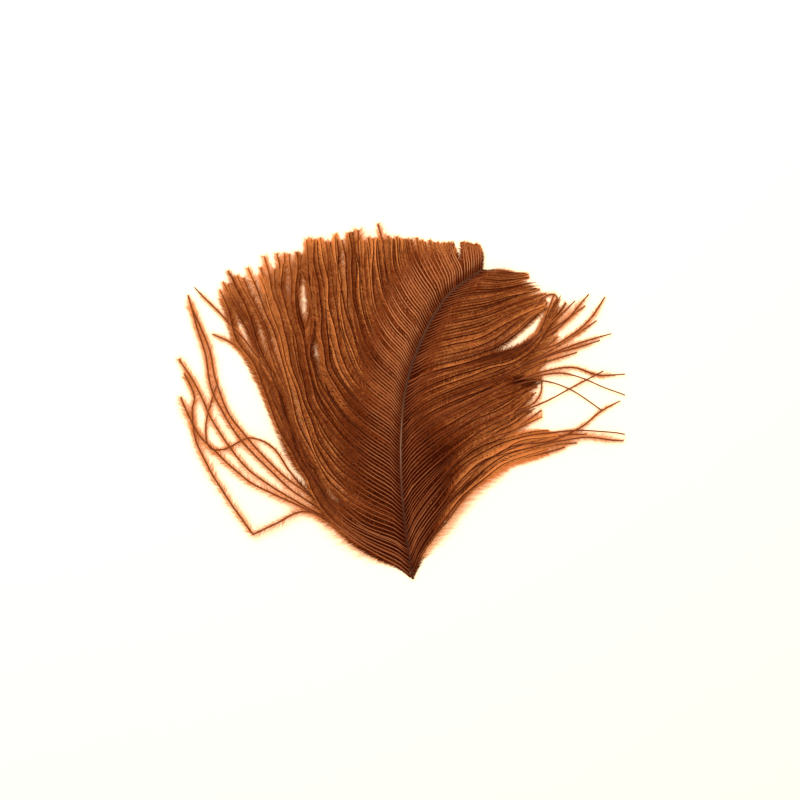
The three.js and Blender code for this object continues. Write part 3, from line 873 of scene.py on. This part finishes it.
def vaneHerls(vane):
    draw = random.Random(vane["seed"])
    share, shares = vane["flow"][0][0], []
    while share < tuft["lastShare"]:
        shares.append(next((low for low, high in vane["open"] if low < share < high), share))
        share += atShare(vane["pitch"], share) * draw.uniform(*tuft["pitchVaries"]) / shaftLength
    herls, i = [], 0
    while i < len(shares):
        members = shares[i:i + draw.choice(tuft["herls"])]
        members = [s for s in members if bandOf(vane, s) == bandOf(vane, members[0])]
        i += len(members)
        middle = flowPath(vane, sum(members) / len(members))
        full = arcLengths(middle)[-1]
        clings = ramp(full, *tuft["clingFrom"])
        cling = draw.uniform(*vane["cling"]) * atShare(vane["clingBy"], members[0]) * clings
        ragged = atShare(vane["trim"], members[0])
        trim = draw.uniform(*tuft["trim"]) * ragged
        tone = draw.gauss(0, vane["tone"])
        lift = draw.uniform(*tuft["lift"]) * ramp(full, *tuft["liftFrom"])
        order = draw.sample(range(len(members)), len(members))
        for share, place in zip(members, order):
            own = flowPath(vane, share)
            t = np.linspace(0, 1, len(own))[:, None]
            hold = ramp(t * full, *tuft["holdFrom"]) * (1 - tuft["loosens"] * ramp(t, *tuft["loosensFrom"]))
            line = own + (middle - own) * cling * hold
            if draw.random() < tuft["astray"]:
                strays = draw.uniform(-tuft["straysBy"], tuft["straysBy"]) * min(1, full / tuft["straysFull"])
                line = line + rightOf(line) * strays * ramp(t, *tuft["straysFrom"])
            length = arcLengths(line)[-1] + trim + draw.uniform(*tuft["ownTrim"]) * ragged
            line = alongLine(line, np.linspace(0, length, len(line)))
            line = parted(vane, bentRoot(vane, line, share))
            stack = place * vane["stack"] * clings
            crown = vane["crown"] + lift + stack - tuft["sunk"]
            tip = herl["tipHeight"] + max(lift, tuft["lowestTip"]) + stack
            made = fringedLine(vane, line, share, draw, tip, crown)
            made["dye"] = np.clip(made["dye"] + tone, *herl["dyeRange"])
            herls.append(made)
    return herls


# loose herls: they follow the vane from the shaft to its edge, then go their own way
stray = {
    "lastShare": 0.99,
    "tries": 120,                   # paths of the vane that a loose herl may follow
    "inner": (0, 0.3, 0.6, 0.85),
    "tip": (-0.05, 0.3),
    "out": 4.0,                     # length over which it leaves the vane
    "flue": 1.08,                   # the vane's barbules times this
    "blade": 0.09,
    "patchy": 0.45,
    "patches": (25, 40),
    "phase": 6,
    "bare": 0.93,                   # how much of the fringe a bare stem has lost
    "bareOver": 0.06,
    "stem": (0.25, 0.21),           # radius half way and at the tip
    "stemDyeAndPaintedLight": 0.42,
    "dye": 0.78,
}


def looseHerls(vane):
    draw = random.Random(vane["seed"] + 1)
    shares = np.linspace(vane["flow"][0][0], stray["lastShare"], stray["tries"])
    paths = [flowPath(vane, s) for s in shares]
    herls = []
    for flue, bareFrom, way in vane["loose"]:
        gaps = [np.linalg.norm(p - np.array(way[0], float), axis=1) for p in paths]
        best = min(range(len(paths)), key=lambda k: gaps[k].min())
        reach = arcLengths(paths[best])[gaps[best].argmin()]
        inner = alongLine(paths[best], np.array(stray["inner"]) * reach)
        line = bentRoot(vane, throughPoints(np.vstack([inner, way])), shares[best])
        tip = herl["tipHeight"] + draw.uniform(*stray["tip"])
        made = fringedLine(vane, line, shares[best], draw, tip, vane["crown"], loose=True)
        t = np.linspace(0, 1, len(made["line"]))
        out = ramp(t * arcLengths(line)[-1], reach, stray["out"])
        waves = np.sin(t * draw.uniform(*stray["patches"]) + draw.uniform(0, stray["phase"]))
        patchy = 1 - stray["patchy"] * (1 - flue) * (1 + waves)
        bare = 1 - stray["bare"] * ramp(t, bareFrom, stray["bareOver"])
        made["flue"] = made["flue"] * (1 + (stray["flue"] * flue * patchy - 1) * out) * bare
        outside = {
            "broad": mm * stray["blade"],
            "thick": mm * np.interp(t, [0.5, 1], stray["stem"]),
            "stemDyeAndPaintedLight": stray["stemDyeAndPaintedLight"],
            "dye": stray["dye"] - made["paintedShadow"],
        }
        for key, value in outside.items():
            made[key] = made[key] + (value - made[key]) * out
        herls.append(made)
    return herls


for vane in (leftVane, rightVane):
    herls = vaneHerls(vane)
    cuts = (0, *vane["parts"], 1.01)
    for low, high, word in zip(cuts, cuts[1:], ("lower", "middle", "upper")):
        group = [h for h in herls if low <= h["share"] < high]
        fringedPiece(vane["node"] + "_" + word, group, vane["node"])
    fringedPiece(vane["node"] + "_loose", looseHerls(vane), vane["node"], **looseFringe)


quill = {
    "rings": 120,
    "sides": 16,
    "groove": 0.03,                 # depth of the fine lengthwise grooves
    "belly": 0.45,                  # share of the height that lies below the widest line
    "dye": 0.10,
    "lighter": 0.16,                # how much lighter it is in the upper part
    "lighterFrom": (0.5, 0.25),     # as shares of the shaft
    "paintedGlintLine": (0.40, 0.12),       # painted glint: a pale line shows along the top, half way up
    "paintedGlintDye": 0.8,
    "paintedGlintNarrow": 14,
    "flankShade": 0.9,                  # painted shade: how much darker the sides are in the upper part
    "flankShadeFrom": (0.3, 0.2),
}


def shaftPiece():
    rings, sides, belly = quill["rings"], quill["sides"], quill["belly"]
    t = np.linspace(0, 1, rings)
    centre, across = onShaft(t), rightOf(onShaft(t))
    half, height = swell(t, shaft["width"]) / 2, swell(t, shaft["height"])
    # painted glint: a pale line along the top, half way up
    paintedGlint = quill["paintedGlintDye"] * hump(t, *quill["paintedGlintLine"])
    brown = quill["dye"] + quill["lighter"] * ramp(t, *quill["lighterFrom"])
    # painted shade: the sides are darker in the upper part
    flankShade = quill["flankShade"] * ramp(t, *quill["flankShadeFrom"])
    turn = np.arange(sides) / sides * 2 * math.pi
    points, dye, around, along = [], [], [], []
    for i in range(rings):
        for k, a in enumerate(turn):
            groove = 1 - quill["groove"] * (k % 2)
            up = math.sin(a)
            x = half[i] * math.cos(a) * groove
            z = height[i] * (belly + (1 - belly) * up * groove if up > 0 else belly * (1 + up))
            points.append((*(centre[i] + across[i] * x), max(z, 0.0)))
            top = max(0.0, up) ** quill["paintedGlintNarrow"]
            dye.append(brown[i] * (1 - flankShade[i] * math.cos(a) ** 2) + paintedGlint[i] * top)
            around.append(a)
            along.append(t[i])
    faces = []
    for i in range(rings - 1):
        for k in range(sides):
            a, b = i * sides + k, i * sides + (k + 1) % sides
            faces.append((a, a + sides, b + sides, b))
    faces.append(tuple(range(sides)))
    faces.append(tuple(reversed(range((rings - 1) * sides, rings * sides))))
    mesh = bpy.data.meshes.new("shaft_quill")
    mesh.from_pydata(((np.array(points) + shift) * mm).tolist(), [], faces)
    for key, values in (("shaftDyeAndPaintedLight", dye), ("around", around), ("along", along)):
        mesh.attributes.new(key, "FLOAT", "POINT").data.foreach_set("value", values)
    mesh.materials.append(materials["shaft"])
    mesh.polygons.foreach_set("use_smooth", [True] * len(mesh.polygons))
    piece = bpy.data.objects.new("shaft_quill", mesh)
    bpy.context.collection.objects.link(piece)
    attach(piece, "root")
    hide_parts("shaft")
    print("shaft faces:", len(faces))


shaftPiece()


# stage: a plain pale floor, soft light and the camera straight above
stage = {
    "floor": (0.95, 0.725, 0.47),
    "floorShade": (0.86, 0.65, 0.45),
    "shadeShare": 0.05,
    "shadeScale": 30.0,
    "shadeDetail": 3.0,
    "floorRoughness": 0.9,
    "floorGlow": (1.0, 0.55, 0.24),     # the floor is lit a little from behind, like a light table
    "glowPower": 0.2,
    "floorSize": 3.0,
    "sky": (1.0, 0.985, 0.96),
    "skyPower": 1.35,
    "keyPower": 6.0,
    "keyPlace": (-0.22, 0.42, 0.62),
    "keySize": 0.55,
    "photoMiddle": (-3.9, 53.7),    # drawing point at the middle of the picture, mm
    "photoWidth": 240.0,            # mm across the picture
    "lens": 90.0,
    "sensor": 36.0,
}


def makeStage():
    half = stage["floorSize"] / 2
    mesh = bpy.data.meshes.new("floor")
    corners = [(-half, -half, 0), (half, -half, 0), (half, half, 0), (-half, half, 0)]
    mesh.from_pydata(corners, [], [(0, 1, 2, 3)])
    floor = bpy.data.objects.new("floor", mesh)
    bpy.context.collection.objects.link(floor)
    material, tree = emptyMaterial("paleFloor")
    place = addNode(tree, "ShaderNodeTexCoord").outputs["Object"]
    noise = addNode(tree, "ShaderNodeTexNoise", {"Vector": place, "Scale": stage["shadeScale"],
                                                 "Detail": stage["shadeDetail"]}).outputs[0]
    shade = mixColour(tree, mathNode(tree, "MULTIPLY", noise, stage["shadeShare"]),
                      (*stage["floor"], 1), (*stage["floorShade"], 1))
    body = addNode(tree, "ShaderNodeBsdfPrincipled",
                   {"Base Color": shade, "Roughness": stage["floorRoughness"],
                    "Emission Color": (*stage["floorGlow"], 1), "Emission Strength": stage["glowPower"]})
    addNode(tree, "ShaderNodeOutputMaterial", {"Surface": body.outputs[0]})
    mesh.materials.append(material)

    world = bpy.data.worlds.new("softSky")
    bpy.context.scene.world = world
    world.use_nodes = True
    back = world.node_tree.nodes["Background"]
    back.inputs[0].default_value = (*stage["sky"], 1)
    back.inputs[1].default_value = stage["skyPower"]

    key = bpy.data.lights.new("softKey", "AREA")
    key.energy = stage["keyPower"]
    key.shape = "DISK"
    key.size = stage["keySize"]
    keyObject = bpy.data.objects.new("softKey", key)
    keyObject.location = stage["keyPlace"]
    keyObject.rotation_euler = (-Vector(stage["keyPlace"])).to_track_quat("-Z", "Y").to_euler()
    bpy.context.collection.objects.link(keyObject)

    camera = bpy.data.cameras.new("fromAbove")
    camera.lens = stage["lens"]
    camera.sensor_width = stage["sensor"]
    seen = bpy.data.objects.new("fromAbove", camera)
    x, y = (np.array(stage["photoMiddle"]) + shift[:2]) * mm
    seen.location = (x, y, stage["photoWidth"] * mm * stage["lens"] / stage["sensor"])
    bpy.context.collection.objects.link(seen)
    bpy.context.scene.camera = seen
    bpy.context.scene.view_settings.view_transform = "Standard"


makeStage()
print("stage set")
